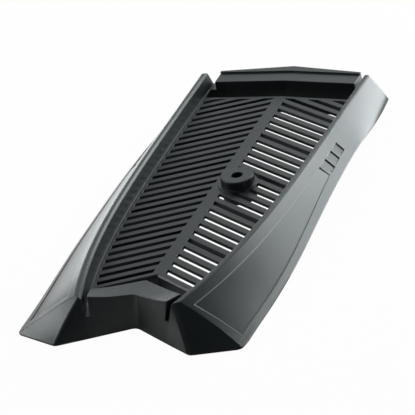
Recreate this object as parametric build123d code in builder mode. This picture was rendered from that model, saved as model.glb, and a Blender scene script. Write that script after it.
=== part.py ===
from build123d import *
import os
from math import exp, hypot, radians, sqrt, tan

# Driving dimensions in millimetres, +Y to the rear, +Z up, the table at Z = 0
length = 305.0
rim_lift = 0.8
deck_height = 11.8
deck_thickness = 1.9
skin = 2.4

# Side walls of the bay
wall_height_front = 21.8
wall_height_rear = 22.1
wall_lean = 4.5
wall_top_flat = 2.5
wall_top_chamfer = 1.2
crown_round = 1.5
bay_half_front = 19.0
bay_half_rear = 52.3
bay_taper = 9.8
bay_curve = 5

# Front: a V notch between two feet
chevron_angle = 30.4
foot_corner_half = 37.8
foot_sweep_angle = 19.0
foot_sweep_top_angle = 35.0
notch_round = 5.0
notch_lean = 5.2
notch_top_angle = 24.5
wall_end_half = 27.4
wall_end_setback = 15.5
foot_round = 4.0
tip_round = 7.0
tip_proud = 0.1

# Rear: a shallow chevron
rear_angle = 9.7
rear_lean = 2.4
rear_wall_setback = 20.0
rear_round = 2.0

# Rim of the flanks, waisted ahead of a swell near the rear
rim_half_front = 64.4
rim_half_waist = 61.4
rim_waist_at = 230.0
rim_swell = 2.3
rim_swell_at = 275.0
rim_swell_reach = 30.0

# Faint crease along the flanks, climbing to the rear end of a sunk panel
crease_height_front = 3.0
crease_height_rear = 6.7
crease_bulge = 0.1
crease_curve = 3
panel_rear = 173.0
panel_front_margin = 3.3
panel_drop_front = 2.6
panel_drop_rear = 7.2
panel_foot = 0.8
panel_step = 0.35
panel_depth_front = 1.5
panel_depth_rear = 0.7
gill_pitch = 10.2
gill_count = 3
gill_depth = 0.9
gill_runout = 0.12
gill_narrowing = 0.4

# Grille deck
slot_pitch = 8.4
slot_width = 3.3
slot_count = 28
spine_half = 3.65
slot_wall_margin = 2.1
slot_rear_margin = 2.6
first_slot = 63.6
deck_front_bar = 4.0
deck_front_chamfer = 1.2
deck_rear = 273.2
deck_rear_angle = 4.4
trough_margin = 1.2

# End stops that hold the console fore and aft
lip_gap = 2.8
lip_rear = 43.0
lip_height_rear = 5.5
lip_height_front = 7.1
lip_scoop_rear = -2.0
lip_scoop_front = 8.0
block_gap = 5.0
block_front = 284.3
block_ledge = 12.0
block_height = 5.5
block_step = 1.1
stop_angle = 4.0

# Screw boss
boss_x = 10.8
boss_from_front = 160.0
boss_diameter = 19.7
boss_height = 5.7
boss_edge = 0.8
boss_pad_diameter = 23.5
boss_pad_rise = 0.6
boss_tube_drop = 9.0
bore_diameter = 7.0
bore_land = 4.0
counterbore_diameter = 13.0

# Underside ribs, and rubber pads in cups at the four corners
rib_thickness = 2.0
rib_drop = 8.0
rib_every = 5
trough_wall_lift = 0.6
pad_diameter = 9.0
pad_thickness = 2.0
pad_sink = 0.8
pad_play = 0.15
pad_edge = 0.4
pad_post_wall = 1.5
pad_front = (46.0, 24.0)
pad_rear = (57.2, 281.0)

front = -length / 2
rear = length / 2
overrun = 6.0
clear = 60.0
chevron = tan(radians(chevron_angle))
chevron_stretch = sqrt(1 + chevron ** 2)
lean = tan(radians(wall_lean))
sweep = tan(radians(foot_sweep_angle))
sweep_top = tan(radians(foot_sweep_top_angle))
rear_slope = tan(radians(rear_angle))
stop_slope = tan(radians(stop_angle))
deck_rear_slope = tan(radians(deck_rear_angle))

# Even cross-section stations, from just before the front to just behind the rear
station_count = 11
station_step = (length + 2 * overrun) / (station_count - 1)
stations = [station_step * index - overrun for index in range(station_count)]


def blend(first, second, share):
    """Straight change from one value to another, held at both ends."""
    return first + (second - first) * min(max(share, 0.0), 1.0)


def bay_half(along):
    """Half width of the bay floor: a straight taper, and a curve that flares from the front."""
    back = 1 - along / length
    flare = bay_half_rear - bay_half_front - bay_taper
    return bay_half_rear - bay_taper * back - flare * back ** bay_curve


def rim_half(along):
    """Half width of the rim: drawn in to the waist, then swollen near the rear."""
    draw = max(0.0, 1 - along / rim_waist_at) ** 1.5
    swell = exp(-((along - rim_swell_at) / rim_swell_reach) ** 2)
    return rim_half_waist + (rim_half_front - rim_half_waist) * draw + rim_swell * swell


def wall_height(along):
    return wall_height_front + (wall_height_rear - wall_height_front) * along / length


def wall_face(along, height):
    """Half width of the bay at a height on the leaning inner face of its wall."""
    return bay_half(along) + lean * (height - deck_height)


def wall_crown(along):
    """Outer edge of the wall top, where the flank begins."""
    top = wall_height(along)
    foot = wall_face(along, top - wall_top_chamfer)
    return (foot + wall_top_chamfer + wall_top_flat, top)


def crease_point(along):
    """Point of the flank crease: on the line from crown to rim, pushed out by a bulge."""
    crown_x, crown_z = wall_crown(along)
    climb = max(along, 0) / panel_rear
    height = blend(crease_height_front, crease_height_rear, climb ** crease_curve)
    share = (crown_z - height) / (crown_z - rim_lift)
    return (crown_x + (rim_half(along) - crown_x) * share + crease_bulge, height)


def flank_half(along, height):
    """Half width of the flank at a height, from rim to crease to crown."""
    crease_x, crease_z = crease_point(along)
    crown_x, crown_z = wall_crown(along)
    low = blend(rim_half(along), crease_x, (height - rim_lift) / (crease_z - rim_lift))
    return low + blend(0, crown_x - crease_x, (height - crease_z) / (crown_z - crease_z))


def across(along):
    """Upright plane across the stand, X to the right and Z up."""
    return Plane.XZ.offset(-(front + along))


def inset(point, other, distance):
    """The line through two points, moved sideways to its right hand."""
    dx = other[0] - point[0]
    dz = other[1] - point[1]
    run = hypot(dx, dz)
    nx = dz / run * distance
    nz = -dx / run * distance
    return (point[0] + nx, point[1] + nz), (other[0] + nx, other[1] + nz)


def meet(first, second):
    """Crossing point of two lines, each given by two points."""
    (ax, az), (bx, bz) = first
    (cx, cz), (dx, dz) = second
    turn = (bx - ax) * (dz - cz) - (bz - az) * (dx - cx)
    share = ((cx - ax) * (dz - cz) - (cz - az) * (dx - cx)) / turn
    return (ax + share * (bx - ax), az + share * (bz - az))


def hull_section(along):
    return [
        (0, rim_lift),
        (rim_half(along), rim_lift),
        crease_point(along),
        wall_crown(along),
        (0, wall_height(along)),
    ]


def bay_section(along):
    top = wall_height(along)
    shoulder = top - wall_top_chamfer
    face = wall_face(along, shoulder)
    return [
        (0, deck_height),
        (bay_half(along), deck_height),
        (face, shoulder),
        (face + wall_top_chamfer, top),
        (face + wall_top_chamfer, top + clear),
        (0, top + clear),
    ]


def core_section(along):
    """The hollow under the deck and inside the walls, one skin in from the outside."""
    low_flank = inset(crease_point(along), (rim_half(along), rim_lift), skin)
    high_flank = inset(wall_crown(along), crease_point(along), skin)
    base = (bay_half(along), deck_height)
    shoulder = wall_height(along) - wall_top_chamfer
    inner_wall = inset(base, (wall_face(along, shoulder), shoulder), skin)
    under_deck = ((0, deck_height - deck_thickness), (1, deck_height - deck_thickness))
    below = ((0, rim_lift - overrun), (1, rim_lift - overrun))
    return [
        (0, rim_lift - overrun),
        meet(low_flank, below),
        meet(low_flank, high_flank),
        meet(high_flank, inner_wall),
        meet(inner_wall, under_deck),
        (0, deck_height - deck_thickness),
    ]


def flank_cut(along, foot, depth_high, depth_low):
    """Shallow cut into the upper flank, from below the wall top to a foot above the crease."""
    crown = Vector(*wall_crown(along))
    crease = Vector(*crease_point(along))
    down = (crease - crown).normalized()
    out = Vector(-down.Y, down.X)
    drop = blend(panel_drop_front, panel_drop_rear, along / panel_rear)
    high = crown + down * (drop / -down.Y)
    low = crease - down * foot
    return [high + out * overrun, low + out * overrun, low - out * depth_low, high - out * depth_high]


def panel_section(along):
    depth = blend(panel_depth_front, panel_depth_rear, along / panel_rear)
    return flank_cut(along, panel_foot, depth, panel_step)


def chevron_band(near, far, slope):
    """Right half of a band across the stand, its edges swept forward from the middle."""
    half = 2 * clear
    return [(0, front + near), (half, front + near - slope * half),
            (half, front + far - slope * half), (0, front + far)]


def at_height(height, low, high):
    """Straight change with height, from a value at the rim to one at the wall top."""
    return low + (high - low) * (height - rim_lift) / (wall_height_front - rim_lift)


def foot_face(x, height):
    """Distance of the foot's front face from the front, at a place on it."""
    corner = at_height(height, foot_corner_half, wall_end_half)
    slope = at_height(height, sweep, sweep_top)
    return at_height(height, -foot_nose, wall_end_setback) + slope * (x - corner)


def rear_face(x, height):
    """Distance of the rear face of the wall from the front, at a place on it."""
    setback = at_height(height, rear_slope * wall_foot_rear, rear_wall_setback)
    return length - setback - rear_slope * (x - wall_foot_rear)


# How far the sharp corner of a foot stands before the rounded one
sweep_stretch = sqrt(1 + sweep ** 2)
foot_nose = foot_round * ((chevron_stretch * sweep + sweep_stretch * chevron) / (chevron + sweep) - 1)

# Middle of the notch low and high, where it meets a wall, and the rear foot of a wall
front_apex = front - foot_nose + chevron * foot_corner_half
top_apex = front_apex + notch_lean
notch_top_slope = tan(radians(notch_top_angle))
notch_half = bay_half(0) + lip_gap / 2
wall_foot_rear = bay_half(length) - block_gap / 4


def edge_near(builder, x, along, height):
    """The edge that passes closest to a point."""
    return builder.edges().sort_by_distance((x, front + along, height))[0]


def front_outline(apex, slope, corner, foot_slope):
    """Plan of what is cut away before the front: V notch, wall end and foot face."""
    stretch = sqrt(1 + slope ** 2)
    touch = notch_round * slope / stretch
    far = (corner[0] + clear, corner[1] + foot_slope * clear)
    with BuildLine() as outline:
        arc = RadiusArc((0, apex - notch_round * (stretch - 1)), (touch, apex - slope * touch), notch_round)
        Polyline(arc @ 1, (notch_half, apex - slope * notch_half), corner, far,
                 (far[0], front - clear), (0, front - clear), arc @ 0)
    return outline.line


def rear_outline(apex, corner):
    """Plan of what is cut away behind the rear: stop, wall end and rim."""
    stop = corner[0] - block_gap / 2
    far = (corner[0] + clear, corner[1] - rear_slope * clear)
    with BuildLine() as outline:
        Polyline((0, apex), (stop, apex - rear_slope * stop), corner, far,
                 (far[0], rear + clear), (0, rear + clear), close=True)
    return outline.line


# Tool that trims the front end, leaning back as it rises
with BuildPart() as front_trim:
    for height in (rim_lift - overrun, wall_height_rear + overrun):
        apex = at_height(height, front_apex, top_apex)
        slope = at_height(height, chevron, notch_top_slope)
        corner = (at_height(height, foot_corner_half, wall_end_half),
                  at_height(height, front - foot_nose, front + wall_end_setback))
        with BuildSketch(Plane.XY.offset(height)):
            add(front_outline(apex, slope, corner, at_height(height, sweep, sweep_top)))
            make_face()
    loft(ruled=True)

# Tool that trims the rear end
with BuildPart() as rear_trim:
    for height in (rim_lift - overrun, wall_height_rear + overrun):
        apex = at_height(height, rear, rear - rear_lean)
        corner = (wall_foot_rear, front + rear_face(wall_foot_rear, height))
        with BuildSketch(Plane.XY.offset(height)):
            add(rear_outline(apex, corner))
            make_face()
    loft(ruled=True)


def loft_along(section):
    """Smooth solid through one closed outline at each station along the stand."""
    with BuildPart() as form:
        for along in stations:
            with BuildSketch(across(along)):
                with BuildLine():
                    Polyline(*section(along), close=True)
                make_face()
        loft()
    return form.part


def bay_plan(margin):
    """Right half of the bay floor in plan, kept clear of the wall by a margin."""
    reach = [length * step / 10 for step in range(11)]
    with BuildSketch() as plan:
        with BuildLine():
            side = Spline([(bay_half(along) - margin, front + along) for along in reach])
            Polyline(side @ 1, (0, rear), (0, front), side @ 0)
        make_face()
    return plan.sketch


def lip_form(margin):
    """Front stop: a chevron block with a scooped top, shrunk by a margin for its hollow."""
    fall = (lip_height_front - lip_height_rear) / (lip_rear - (top_apex - front))
    with BuildPart() as lip:
        with BuildSketch(Plane.XY.offset(deck_height - deck_thickness)):
            add(bay_plan(lip_gap + margin))
            with BuildLine():
                Polyline(*chevron_band(-clear, lip_rear - margin * chevron_stretch, chevron), close=True)
            make_face(mode=Mode.INTERSECT)
        extrude(amount=clear)
        scoop_half = bay_half(lip_rear)
        for along, rise in ((lip_rear, lip_scoop_rear), (0.0, lip_scoop_front)):
            height = deck_height + lip_height_rear + fall * (lip_rear - along) - margin
            with BuildSketch(across(along)):
                with BuildLine():
                    arc = ThreePointArc((0, height), (scoop_half / 2, height + rise / 4),
                                        (scoop_half, height + rise))
                    Polyline(arc @ 1, (scoop_half, height + clear), (0, height + clear), arc @ 0)
                make_face()
        loft(ruled=True, mode=Mode.SUBTRACT)
    return lip.part


def block_form(margin):
    """Rear stop: a ledge with a low step behind it, shrunk by a margin for its hollow."""
    with BuildPart() as block:
        for near, height in ((block_front, block_height),
                             (block_front + block_ledge, block_height + block_step)):
            with BuildSketch(Plane.XY.offset(deck_height - deck_thickness)):
                add(bay_plan(block_gap + margin))
                with BuildLine():
                    Polyline(*chevron_band(near + margin, length + clear, stop_slope), close=True)
                make_face(mode=Mode.INTERSECT)
            extrude(amount=deck_thickness + height - margin)
    return block.part


# Tool that opens the bay from above and leaves the two stops standing
with BuildPart() as bay:
    add(loft_along(bay_section))
    add(lip_form(0), mode=Mode.SUBTRACT)
    add(block_form(0), mode=Mode.SUBTRACT)

# Ribs under the grille, and deep walls beside the two troughs
slot_run = slot_width * chevron_stretch
rib_run = rib_thickness * chevron_stretch
deck_front = first_slot - slot_run / 2 - deck_front_bar * chevron_stretch
rib_base = deck_height - rib_drop
wall_base = rim_lift + trough_wall_lift
ribs = [(deck_front, deck_front + rib_run, chevron, wall_base),
        (deck_rear - rib_thickness, deck_rear, deck_rear_slope, wall_base),
        (block_front, block_front + skin, stop_slope, wall_base)]
for step in range(1, slot_count // rib_every + 1):
    along = first_slot + slot_pitch * (rib_every * step - 0.5)
    ribs.append((along - rib_run / 2, along + rib_run / 2, chevron, rib_base))

# Tool that hollows the underside and leaves ribs and pad posts standing
pad_places = [(pad_front[0], front + pad_front[1]), (pad_rear[0], front + pad_rear[1])]
with BuildPart() as core:
    add(loft_along(core_section))
    add(lip_form(skin))
    add(block_form(skin))
    add(front_trim.part.moved(Location((0, skin * chevron_stretch, 0))), mode=Mode.SUBTRACT)
    add(rear_trim.part.moved(Location((0, -skin, 0))), mode=Mode.SUBTRACT)
    for near, far, slope, base in ribs:
        with BuildSketch(Plane.XY.offset(base)):
            with BuildLine():
                Polyline(*chevron_band(near, far, slope), close=True)
            make_face()
        extrude(amount=deck_height - base, mode=Mode.SUBTRACT)
    with BuildSketch(Plane.XY.offset(pad_thickness - pad_sink)):
        with Locations(*pad_places):
            Circle(pad_diameter / 2 + pad_post_wall)
    extrude(amount=clear, mode=Mode.SUBTRACT)

# Tool that sinks the flank panel, framed at the front
with BuildPart() as panel:
    add(loft_along(panel_section))
    split(bisect_by=across(panel_rear), keep=Keep.TOP)
    add(front_trim.part.moved(Location((0, panel_front_margin, 0))), mode=Mode.SUBTRACT)

# Hull with trimmed ends and rounded corners, right half
mid_height = (rim_lift + wall_height_front) / 2
tip_inset = tip_round - tip_proud
tip_x = rim_half_front - tip_inset
tip_y = front + foot_face(tip_x, rim_lift) + tip_inset * sweep_stretch
rear_low = (rim_lift + crease_height_rear) / 2
rear_high = (crease_height_rear + wall_height_rear) / 2
with BuildPart() as hull:
    add(loft_along(hull_section))
    add(front_trim.part, mode=Mode.SUBTRACT)
    add(rear_trim.part, mode=Mode.SUBTRACT)
    crown_x, crown_z = wall_crown(length / 2)
    fillet(edge_near(hull, crown_x, length / 2, crown_z), radius=crown_round)
    corner_x = at_height(mid_height, foot_corner_half, wall_end_half)
    fillet(edge_near(hull, corner_x, foot_face(corner_x, mid_height), mid_height), radius=foot_round)
    rear_edges = []
    for height in (rear_low, rear_high):
        x = flank_half(length - rear_wall_setback, height)
        rear_edges.append(edge_near(hull, x, rear_face(x, height), height))
    fillet(rear_edges, radius=rear_round)
    with BuildSketch(Plane.XY):
        with BuildLine():
            Polyline((tip_x, tip_y), (tip_x + clear, tip_y), (tip_x + clear, tip_y - clear),
                     (tip_x + sweep * clear, tip_y - clear), close=True)
        make_face()
        with Locations((tip_x, tip_y)):
            Circle(tip_round, mode=Mode.SUBTRACT)
    extrude(amount=clear, mode=Mode.SUBTRACT)

# The moulding, right half first
with BuildPart() as stand_body:
    add(hull.part)
    add(panel.part, mode=Mode.SUBTRACT)
    for index in range(gill_count):
        step = panel_rear + gill_pitch * (index + 1)
        for along, depth in ((step - gill_pitch, -gill_runout), (step, gill_depth)):
            with BuildSketch(across(along)):
                with BuildLine():
                    Polyline(*flank_cut(along, gill_narrowing * (index + 1), depth, depth), close=True)
                make_face()
        loft(ruled=True, mode=Mode.SUBTRACT)
    add(bay.part, mode=Mode.SUBTRACT)
    add(core.part, mode=Mode.SUBTRACT)
    with BuildSketch(Plane.XY.offset(deck_height)):
        add(bay_plan(slot_wall_margin))
        with BuildLine():
            Polyline(*chevron_band(0, deck_rear - slot_rear_margin, deck_rear_slope), close=True)
        make_face(mode=Mode.INTERSECT)
        for index in range(slot_count + 1):
            far = first_slot + slot_pitch * index - slot_run / 2
            near = far - slot_pitch + slot_run if index else -clear
            with BuildLine():
                Polyline(*chevron_band(near, far, chevron), close=True)
            make_face(mode=Mode.SUBTRACT)
        Rectangle(2 * spine_half, 2 * length, mode=Mode.SUBTRACT)
    extrude(amount=-deck_thickness * 1.5, mode=Mode.SUBTRACT)
    for near, near_slope, far, far_slope in ((lip_rear, chevron, deck_front, chevron),
                                             (deck_rear, deck_rear_slope, block_front, stop_slope)):
        with BuildSketch(Plane.XY.offset(deck_height)):
            add(bay_plan(trough_margin))
            with BuildLine():
                Polyline(*chevron_band(near, length + clear, near_slope), close=True)
            make_face(mode=Mode.INTERSECT)
            with BuildLine():
                Polyline(*chevron_band(far, length + clear, far_slope), close=True)
            make_face(mode=Mode.SUBTRACT)
        extrude(amount=-deck_thickness * 1.5, mode=Mode.SUBTRACT)
    edge_x = bay_half_front / 2
    deck_edge = edge_near(stand_body, edge_x, deck_front - chevron * edge_x, deck_height)
    chamfer(deck_edge, length=deck_front_chamfer)
    mirror(about=Plane.YZ)

    # Screw boss through the deck, bored and counterbored from below
    boss_place = (boss_x, front + boss_from_front)
    boss_top = deck_height + boss_height
    deck_base = deck_height - deck_thickness
    for diameter, low, high in ((boss_pad_diameter, deck_base, deck_height + boss_pad_rise),
                                (boss_diameter, deck_height - boss_tube_drop, boss_top)):
        with BuildSketch(Plane.XY.offset(low)):
            with Locations(boss_place):
                Circle(diameter / 2)
        extrude(amount=high - low)
    for diameter, high in ((counterbore_diameter, boss_top - bore_land),
                           (bore_diameter, boss_top + overrun)):
        with BuildSketch():
            with Locations(boss_place):
                Circle(diameter / 2)
        extrude(amount=high, mode=Mode.SUBTRACT)
    boss_rim = stand_body.edges().filter_by(GeomType.CIRCLE).filter_by_position(Axis.Z, boss_top, boss_top)
    fillet(boss_rim.sort_by(SortBy.RADIUS)[-1], radius=boss_edge)

    # Cups for the pads
    with BuildSketch():
        with Locations(*pad_places, *[(-x, y) for x, y in pad_places]):
            Circle(pad_diameter / 2 + pad_play)
    extrude(amount=pad_thickness, mode=Mode.SUBTRACT)

stand_body.part.label = "stand_body"
os.makedirs("parts", exist_ok=True)
export_step(stand_body.part, "parts/stand_body.step")

# Rubber pads that stand on the table
for end, (x, y) in zip(("front", "rear"), pad_places):
    for side, hand in (("left", -1), ("right", 1)):
        with BuildPart() as pad:
            with BuildSketch():
                with Locations((hand * x, y)):
                    Circle(pad_diameter / 2)
            extrude(amount=pad_thickness)
            chamfer(pad.edges().group_by(Axis.Z)[0], length=pad_edge)
        pad.part.label = f"pad_{end}_{side}"
        export_step(pad.part, f"parts/pad_{end}_{side}.step")
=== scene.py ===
# %% [markdown]
# # A console stand in black plastic
#
# The stand is one moulding: two flanks, two leaning walls, and a grille of chevron slots
# between them. Its solids come from the CAD frame. This lesson bends a copy of the solid
# where the real flanks are arched, and is otherwise about finish: how a single black
# plastic can read as a glossy flank, a dull grille and a dark wall, only by its texture
# and by what it mirrors.

# %% Load the frame
from math import radians

import bpy
from mathutils import Euler, Matrix, Vector


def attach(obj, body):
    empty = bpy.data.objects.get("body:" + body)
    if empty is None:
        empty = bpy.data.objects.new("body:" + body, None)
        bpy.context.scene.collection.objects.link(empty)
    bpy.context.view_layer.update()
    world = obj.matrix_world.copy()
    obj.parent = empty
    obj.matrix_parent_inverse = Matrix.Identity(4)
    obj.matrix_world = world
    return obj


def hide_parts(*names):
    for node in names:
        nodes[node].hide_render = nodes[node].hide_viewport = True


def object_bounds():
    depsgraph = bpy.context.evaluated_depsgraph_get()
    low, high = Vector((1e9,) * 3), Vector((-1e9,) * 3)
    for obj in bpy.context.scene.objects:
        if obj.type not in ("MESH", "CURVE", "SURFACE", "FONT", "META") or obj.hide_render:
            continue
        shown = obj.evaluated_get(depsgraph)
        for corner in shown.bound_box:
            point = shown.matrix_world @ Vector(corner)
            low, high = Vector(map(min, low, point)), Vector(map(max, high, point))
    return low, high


MILLIMETRE = 0.001

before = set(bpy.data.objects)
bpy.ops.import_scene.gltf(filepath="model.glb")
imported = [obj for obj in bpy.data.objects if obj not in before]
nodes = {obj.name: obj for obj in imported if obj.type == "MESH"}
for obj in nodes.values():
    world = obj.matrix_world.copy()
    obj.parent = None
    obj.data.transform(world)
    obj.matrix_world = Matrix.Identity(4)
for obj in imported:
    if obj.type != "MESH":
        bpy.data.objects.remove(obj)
cad_low, cad_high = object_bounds()
length = cad_high.y - cad_low.y
bpy.ops.object.select_all(action="DESELECT")
print("nodes", sorted(nodes))
print("box in mm", [round(side / MILLIMETRE, 1) for side in cad_high - cad_low])

# %% [markdown]
# ## Sums with sockets
#
# A finish is arithmetic on patterns: this noise times that mask, plus a constant. Wiring
# Math nodes by hand hides the sum, so one small class wraps an output socket and lets
# Python's own operators add the nodes. Its node method adds any other node.


# %% A socket that can be added and multiplied
class Signal:
    """One output socket of a node tree."""

    def __init__(self, tree, socket=None):
        self.tree = tree
        self.socket = socket

    def node(self, kind, settings=None, inputs=None, output=0):
        """Adds a node: settings first, then values or links for its sockets."""
        made = self.tree.nodes.new(kind)
        for name, value in (settings or {}).items():
            setattr(made, name, value)
        for key, value in (inputs or {}).items():
            if isinstance(value, Signal):
                self.tree.links.new(value.socket, made.inputs[key])
            else:
                made.inputs[key].default_value = value
        return Signal(self.tree, made.outputs[output] if made.outputs else None)

    def outputs(self, *keys):
        """Several outputs of the node that this socket is on."""
        return [Signal(self.tree, self.socket.node.outputs[key]) for key in keys]

    def sum(self, operation, *terms):
        """A Math node."""
        return self.node("ShaderNodeMath", {"operation": operation}, dict(enumerate(terms)))

    def __add__(self, other):
        return self.sum("ADD", self, other)

    def __sub__(self, other):
        return self.sum("SUBTRACT", self, other)

    def __rsub__(self, other):
        return self.sum("SUBTRACT", other, self)

    def __mul__(self, other):
        return self.sum("MULTIPLY", self, other)

    def __pow__(self, other):
        return self.sum("POWER", self, other)

    __radd__ = __add__
    __rmul__ = __mul__


def fresh(material_name):
    """An empty material and its tree."""
    material = bpy.data.materials.new(material_name)
    material.use_nodes = True
    material.node_tree.nodes.clear()
    return material, Signal(material.node_tree)


print("socket sums ready")

# %% [markdown]
# ## Arched flanks
#
# Seen from the far side, the lower edge of a flank is not straight: it leaves the table
# behind the front foot, runs a few millimetres above it and comes down again at the rear
# foot, so that air gets in under the grille. The solid has a straight edge, so a merged
# copy of it is cut across at even stations, which gives it points to move. The shading of
# the solid is exact, and a cut mesh would lose it, so it is kept on the corners first.

# %% A merged copy, cut across at even stations
STATIONS = 38
WELD = 0.01 * MILLIMETRE

shell = bpy.data.objects.new("stand_shell", nodes["stand_body"].data.copy())
bpy.context.scene.collection.objects.link(shell)
shell.select_set(True)
bpy.context.view_layer.objects.active = shell
shell.data.attributes.new("solid_normal", "FLOAT_VECTOR", "CORNER")
solid_normals = shell.data.attributes["solid_normal"].data
for corner, exact in zip(solid_normals, shell.data.corner_normals):
    corner.vector = exact.vector
bpy.ops.object.mode_set(mode="EDIT")
bpy.ops.mesh.select_all(action="SELECT")
bpy.ops.mesh.remove_doubles(threshold=WELD)
for station in range(1, STATIONS):
    cut = (0, cad_low.y + length * station / STATIONS, 0)
    bpy.ops.mesh.select_all(action="SELECT")
    bpy.ops.mesh.bisect(plane_co=cut, plane_no=(0, 1, 0))
bpy.ops.object.mode_set(mode="OBJECT")
print("points in the copy", len(shell.data.vertices))

# %% [markdown]
# The lower edge moves out and up, each by a swell along the stand. A swell is given in
# millimetres: its height, where it starts and over what way it rises, where it ends and
# over what way it dies down.

# %% How far the lower edge moves
OUT_SWELL = (5.4, -20, 127, 201, 103)
UP_SWELL = (7.1, 39, 148, 196, 84)


def ease(value):
    """0 to 1 with a soft start and end."""
    value = min(max(value, 0), 1)
    return value * value * (3 - 2 * value)


def swell(along, top, start, rising, end, falling):
    """A height that grows and dies away along the stand."""
    return top * ease((along - start) / rising) * (1 - ease((along - end) / falling)) * MILLIMETRE


def spread(y):
    """How far the lower edge goes out and up."""
    along = (y - cad_low.y) / MILLIMETRE
    return swell(along, *OUT_SWELL), swell(along, *UP_SWELL)


print("half way along it goes out and up by", [round(1000 * way, 1) for way in spread(0)], "mm")

# %% [markdown]
# The bay stays as it is, so a point moves only if it lies outside the wall of the bay. The
# sum for the bay's half width takes numbers here, and sockets further down, where it tells
# the bay's finish from the outside's.

# %% Where the bay ends
REAR_HALF = 51.6 * MILLIMETRE
EVEN_TAPER = 9.8 * MILLIMETRE
FRONT_TAPER = 23.5 * MILLIMETRE
FRONT_POWER = 5
WALL_LEAN = 0.08


def bay_half(y, z):
    """Half width of the bay: it narrows to the front, and its walls lean."""
    forward = 0.5 - y * (1 / length)
    narrowed = REAR_HALF - EVEN_TAPER * forward - FRONT_TAPER * forward ** FRONT_POWER
    return narrowed + WALL_LEAN * z


print("bay at the rear is", round(2 * bay_half(cad_high.y, 0) / MILLIMETRE, 1), "mm wide")

# %% [markdown]
# The move fades to nothing at the crown of the wall. A normal must turn with its face, by
# the inverse transpose of the move's own matrix, or the arch would be shaded as if it were
# straight. The matrix needs the slope of both swells, taken over a small step.

# %% How far a point moves
RIM = 0.8 * MILLIMETRE
CROWN = 20.5 * MILLIMETRE
WALL = 2.6 * MILLIMETRE
WALL_SOFT = 0.8 * MILLIMETRE
STEP = 1 * MILLIMETRE


def arch(point):
    """Move of a point, and the matrix that turns its normal."""
    x, y, z = point
    side = 1 if x > 0 else -1
    outer = ease((abs(x) - bay_half(y, z) - WALL) / WALL_SOFT)
    fade = outer * min(max(1 - (z - RIM) / CROWN, 0), 1)
    out, up = spread(y)
    out_slope, up_slope = [(ahead - behind) / (2 * STEP)
                           for ahead, behind in zip(spread(y + STEP), spread(y - STEP))]
    move = Matrix(((1, side * out_slope * fade, -side * out * outer / CROWN),
                   (0, 1, 0),
                   (0, up_slope * fade, 1 - up * outer / CROWN)))
    return Vector((side * out, 0, up)) * fade, move.inverted().transposed()


print("the move fades over", CROWN / MILLIMETRE, "mm of height")

# %% [markdown]
# The sunk panel of each flank also has a broader frame at its front than the solid has,
# widest at the lower corner. Its front edge slides back along the flank, and the points
# behind it follow less and less. The foot's edge and the flank's face both lean, so a
# point's way behind the one and its depth under the other are taken at its own height.

# %% How far the panel's front edge slides
FRAME_SLIDE = 5.5 * MILLIMETRE
FOOT_EDGE, FOOT_EDGE_LEAN = -143.7 * MILLIMETRE, 0.504
FLANK_FACE, FLANK_LEAN = 64.3 * MILLIMETRE, 1.51
FULL_BEHIND = 3 * MILLIMETRE
FOLLOW_FROM, FOLLOW_OVER = 6 * MILLIMETRE, 45 * MILLIMETRE
SKIN, SKIN_SOFT = 3 * MILLIMETRE, 1.2 * MILLIMETRE
SLIDE_TOP = 18 * MILLIMETRE


def slide(point):
    """Way back along the flank: none on the foot's edge, most on the panel's edge."""
    x, y, z = point
    behind = y - FOOT_EDGE - FOOT_EDGE_LEAN * z
    depth = FLANK_FACE - FLANK_LEAN * z - abs(x)
    grow = ease(behind / FULL_BEHIND) * (1 - ease((behind - FOLLOW_FROM) / FOLLOW_OVER))
    return FRAME_SLIDE * grow * ease((SKIN - depth) / SKIN_SOFT) * max(1 - z / SLIDE_TOP, 0)


print("the panel's edge slides by up to", FRAME_SLIDE / MILLIMETRE, "mm")

# %% [markdown]
# The normals are turned before the points move, because both are worked out from a point's
# first place. Faces that are nearly level keep the normal they have, because the move hardly
# tilts them.

# %% Turn the normals, then move the points
LEVEL = 0.95

mesh = shell.data
turned = []
for corner, exact in zip(mesh.loops, mesh.attributes["solid_normal"].data):
    _, turn = arch(mesh.vertices[corner.vertex_index].co)
    normal = exact.vector.copy()
    if abs(normal.z) < LEVEL:
        normal = turn @ normal
    turned.append(normal.normalized())
for point in mesh.vertices:
    shift, _ = arch(point.co)
    point.co += shift + Vector((0, slide(point.co), 0))
mesh.attributes.remove(mesh.attributes["solid_normal"])
mesh.shade_smooth()
mesh.normals_split_custom_set(turned)
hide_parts("stand_body")
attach(shell, "root")
print("arched copy of", len(mesh.polygons), "faces")

# %% [markdown]
# ## Moulded black plastic
#
# The tool that moulds such a part is eroded by sparks, which leaves a fine, even grain in
# the plastic. The grain scatters light, so the grille and the walls of the bay look dull.
# The flanks come from a smoother part of the tool and mirror the room softly. One material
# holds both: a mask made from the place on the part tells the bay from the outside.

# %% Noise, and a colour between two
MIX_AMOUNT, MIX_FIRST, MIX_SECOND, MIX_COLOUR = 0, 6, 7, 2


def noise(tree, place, scale, detail):
    return tree.node("ShaderNodeTexNoise", None,
                     {"Vector": place, "Scale": scale, "Detail": detail})


def blend(tree, amount, first, second):
    """A colour between two. The node's colour sockets are told apart by number only."""
    return tree.node("ShaderNodeMix", {"data_type": "RGBA"},
                     {MIX_AMOUNT: amount, MIX_FIRST: first, MIX_SECOND: second}, MIX_COLOUR)


print("patterns ready")

# %% A mask of the bay
MASK_SOFT = 0.6 * MILLIMETRE


def bay_mask(tree, place):
    """1 inside the bay, 0 on the flanks."""
    x, y, z = tree.node("ShaderNodeSeparateXYZ", None, {0: place}).outputs(0, 1, 2)
    inside = bay_half(y, z) - tree.sum("ABSOLUTE", x)
    return tree.node("ShaderNodeMapRange", {"clamp": True},
                     {"Value": inside, "From Min": -MASK_SOFT, "From Max": MASK_SOFT})


print("mask changes over", 2 * MASK_SOFT / MILLIMETRE, "mm")

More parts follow.
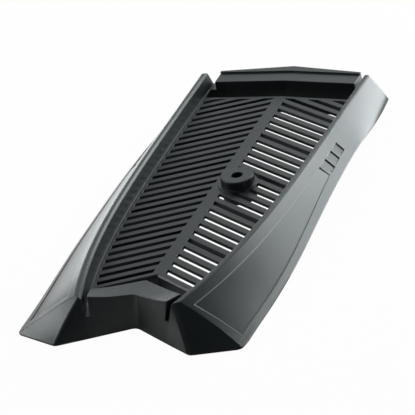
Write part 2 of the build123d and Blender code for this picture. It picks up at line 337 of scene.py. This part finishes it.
# %% [markdown]
# Three noises make the plastic: a fine grain, a coarser speckle, and slow flow marks a few
# centimetres wide. Each is used around its middle, so it adds as much as it takes away.
# The grain and the speckle are strong in the bay and nearly nothing outside. The Bevel node
# rounds the shading of the edges, as every moulded edge is a little round.

# %% The plastic itself
DEEP_BLACK = (0.0065, 0.0085, 0.009, 1)
WORN_BLACK = (0.016, 0.021, 0.022, 1)
GRAIN_SCALE, SPECKLE_SCALE, FLOW_SCALE = 1500.0, 620.0, 22.0
EDGE_ROUND = 0.8 * MILLIMETRE
RELIEF_DEPTH = 0.1 * MILLIMETRE


def moulded_plastic(name):
    """Black plastic: grainy in the bay, smooth on the flanks."""
    material, tree = fresh(name)
    place = tree.node("ShaderNodeTexCoord", output="Object")
    bay = bay_mask(tree, place)
    grain = noise(tree, place, GRAIN_SCALE, 3.0) - 0.5
    speckle = noise(tree, place, SPECKLE_SCALE, 2.0) - 0.5
    flow = noise(tree, place, FLOW_SCALE, 3.0) - 0.5
    shade = 0.5 + flow * 0.5 + speckle * (0.4 + bay * 0.5)
    rough = 0.30 + bay * 0.08 + flow * 0.12 + speckle * (0.06 + bay * 0.2)
    relief = grain * (0.01 + bay * 0.75) + speckle * (0.005 + bay * 0.45)
    edge = tree.node("ShaderNodeBevel", {"samples": 6}, {"Radius": EDGE_ROUND})
    bump = tree.node("ShaderNodeBump", None, {"Strength": 0.5, "Distance": RELIEF_DEPTH,
                                              "Height": relief, "Normal": edge})
    shader = tree.node("ShaderNodeBsdfPrincipled", None,
                       {"Base Color": blend(tree, shade, DEEP_BLACK, WORN_BLACK),
                        "Roughness": rough, "Normal": bump, "IOR": 1.5})
    tree.node("ShaderNodeOutputMaterial", None, {"Surface": shader})
    return material


plastic = moulded_plastic("moulded_black_plastic")
shell.data.materials.clear()
shell.data.materials.append(plastic)
print("plastic nodes", len(plastic.node_tree.nodes))

# %% [markdown]
# ## Rubber pads
#
# Four pads lie in cups under the corners. Rubber is duller than the plastic and a little
# uneven, so its roughness is high and its bump is soft and broad.

# %% Pads
DARK_RUBBER = (0.012, 0.012, 0.012, 1)
PALE_RUBBER = (0.030, 0.030, 0.031, 1)
MOTTLE_SCALE = 420.0
MOTTLE_DEPTH = 0.1 * MILLIMETRE


def pad_rubber(name):
    """Dull, mottled rubber."""
    material, tree = fresh(name)
    place = tree.node("ShaderNodeTexCoord", output="Object")
    mottle = noise(tree, place, MOTTLE_SCALE, 4.0)
    bump = tree.node("ShaderNodeBump", None,
                     {"Strength": 0.3, "Distance": MOTTLE_DEPTH, "Height": mottle})
    shader = tree.node("ShaderNodeBsdfPrincipled", None,
                       {"Base Color": blend(tree, mottle, DARK_RUBBER, PALE_RUBBER),
                        "Roughness": 0.7 + (mottle - 0.5) * 0.2, "Normal": bump})
    tree.node("ShaderNodeOutputMaterial", None, {"Surface": shader})
    return material


rubber = pad_rubber("pad_rubber")
pads = [node for name, node in nodes.items() if name.startswith("pad_")]
for pad in pads:
    pad.data.materials.clear()
    pad.data.materials.append(rubber)
print("pads", len(pads))

# %% [markdown]
# ## Floor
#
# The stand was photographed on seamless white. A white sheet that also glows to the camera
# stays white under the grille, where no lamp reaches, and a small share of plain paper is
# left to take the shadow. The plastic mirrors the sheet, so it glows to reflections too, with
# a painted shadow in that glow: full at the rear left, faint at the front right, where the
# stand's shadow would fall and which the dark front faces look at, and faint under the
# stand, a painted shade that keeps the slots' walls from turning grey.

# %% White sheet
SHEET_SIZE = 6.0
GLOW_TO_CAMERA = 0.97
# The glow levels and places below paint the stand's shadow into what the plastic mirrors.
PAINTED_SHADOW_GLOW, FULL_GLOW = 0.05, 0.9
FAINT_UP_TO, FULL_FROM = -0.25, -0.10
UNDER_HALF_WIDTH, UNDER_HALF_LENGTH = 0.058, 0.148
UNDER_PAINTED_SHADE = 0.9

bpy.ops.mesh.primitive_plane_add(size=SHEET_SIZE, location=(0, 0, 0))
sheet = bpy.context.object
sheet.name = "white_sheet"
white, tree = fresh("white_sheet")
to_camera, to_gloss, to_glass = tree.node("ShaderNodeLightPath").outputs(
    "Is Camera Ray", "Is Glossy Ray", "Is Transmission Ray")
place = tree.node("ShaderNodeTexCoord", output="Object")
across, depth = tree.node("ShaderNodeSeparateXYZ", None, {0: place}).outputs(0, 1)
# Painted shadow: the sheet's glow to reflections is faint in front of the stand and full behind
# it.
glow_with_painted_shadow = tree.node("ShaderNodeMapRange", {"clamp": True},
                {"Value": depth - across, "From Min": FAINT_UP_TO, "From Max": FULL_FROM,
                 "To Min": PAINTED_SHADOW_GLOW, "To Max": FULL_GLOW})
# Painted shade under the stand: the glow to reflections drops there.
painted_under_shade = (tree.sum("LESS_THAN", tree.sum("ABSOLUTE", across), UNDER_HALF_WIDTH)
         * tree.sum("LESS_THAN", tree.sum("ABSOLUTE", depth), UNDER_HALF_LENGTH))
glow = to_camera * GLOW_TO_CAMERA + to_glass * glow_with_painted_shadow + to_gloss * glow_with_painted_shadow * (1.0 - painted_under_shade * UNDER_PAINTED_SHADE)
paper = tree.node("ShaderNodeBsdfDiffuse", None, {"Color": (0.9, 0.9, 0.9, 1)})
shine = tree.node("ShaderNodeEmission", None, {"Color": (1, 1, 1, 1), "Strength": 1.0})
mixed = tree.node("ShaderNodeMixShader", None,
                  {0: tree.sum("MINIMUM", glow, 1.0), 1: paper, 2: shine})
tree.node("ShaderNodeOutputMaterial", None, {"Surface": mixed})
sheet.data.materials.append(white)
print("sheet of", tuple(sheet.dimensions)[:2])

# %% [markdown]
# ## Light
#
# Black plastic shows little but reflections, so each lamp is placed by what a face mirrors
# in the catalogue view. Two lie flat on the sheet and face up, and the flanks mirror them
# as bright patches of floor. Those behind the stand draw the panel, the grille and the
# edges, and others on the left, on the right and overhead fill in the rest. The camera
# doesn't see them, and the room around them is a dim grey.


# %% Lamps
LAMP_COLOUR = (0.93, 0.99, 1.0)


def bank(name, place, aim, width, height, watts):
    """A flat bank of light that faces a point."""
    data = bpy.data.lights.new(name, "AREA")
    data.shape = "RECTANGLE"
    data.size = width
    data.size_y = height
    data.energy = watts
    data.color = LAMP_COLOUR
    lamp = bpy.data.objects.new(name, data)
    lamp.location = place
    lamp.rotation_euler = (Vector(aim) - Vector(place)).to_track_quat("-Z", "Y").to_euler()
    lamp.visible_camera = False
    bpy.context.scene.collection.objects.link(lamp)
    return lamp


lamps = [
    bank("lit_sheet", (0.369, 0.27, 0.002), (0.369, 0.27, 1), 0.602, 0.80, 8.4),
    bank("rear_right_bank", (0.62, 0.78, 0.30), (0, 0.05, 0.02), 0.55, 0.6, 6.0),
    bank("front_panel_bank", (0.31, 0.78, 0.46), (0.05, -0.12, 0.01), 0.3, 0.25, 1.5),
    bank("rear_bank", (-0.08, 1.0, 0.75), (0, 0, 0.02), 0.35, 0.3, 1.5),
    bank("high_bank", (-0.25, 0.55, 1.05), (0, 0, 0), 0.4, 0.3, 1.6),
    bank("backdrop_bank", (-0.65, 1.05, 0.5), (0, 0, 0.02), 0.9, 0.9, 2.0),
    bank("edge_bank", (-0.62, 0.85, 0.05), (0, 0, 0.02), 0.4, 0.09, 0.8),
    bank("overhead", (-0.40, -0.45, 0.9), (0, 0, 0), 0.3, 0.3, 1.0),
    bank("left_bank", (-0.98, -0.22, 0.66), (0, 0, 0.02), 0.4, 0.4, 4.0),
    bank("left_sheet", (-0.32, 0.05, 0.002), (-0.32, 0.05, 1), 0.46, 0.5, 1.4),
    bank("right_bank", (1.15, -0.2, 0.25), (0, 0, 0.02), 0.9, 0.35, 1.8),
]
print("lamps", [lamp.name for lamp in lamps])

# %% Room
ROOM_COLOUR = (0.8, 0.82, 0.85, 1)
ROOM_STRENGTH = 0.06

world = bpy.data.worlds.new("studio")
world.use_nodes = True
room = world.node_tree.nodes["Background"]
room.inputs["Color"].default_value = ROOM_COLOUR
room.inputs["Strength"].default_value = ROOM_STRENGTH
bpy.context.scene.world = world
print("room strength", ROOM_STRENGTH)

# %% [markdown]
# ## Camera
#
# A long lens from the front right, tilted a little, as in a catalogue picture. The place
# was solved from the lattice of the grille, whose pitch is the same all along the stand.

# %% Camera at the catalogue view
lens = bpy.data.cameras.new("catalogue_view")
lens.lens = 167.28
lens.sensor_width = 36.0
lens.clip_start = 0.05
camera = bpy.data.objects.new("catalogue_view", lens)
camera.location = (0.40888, -0.90114, 0.52725)
camera.rotation_euler = Euler((radians(61.6292), radians(8.8869), radians(20.0453)), "XYZ")
bpy.context.scene.collection.objects.link(camera)
bpy.context.scene.camera = camera
bpy.context.scene.view_settings.view_transform = "Standard"
print("camera at", tuple(camera.location))
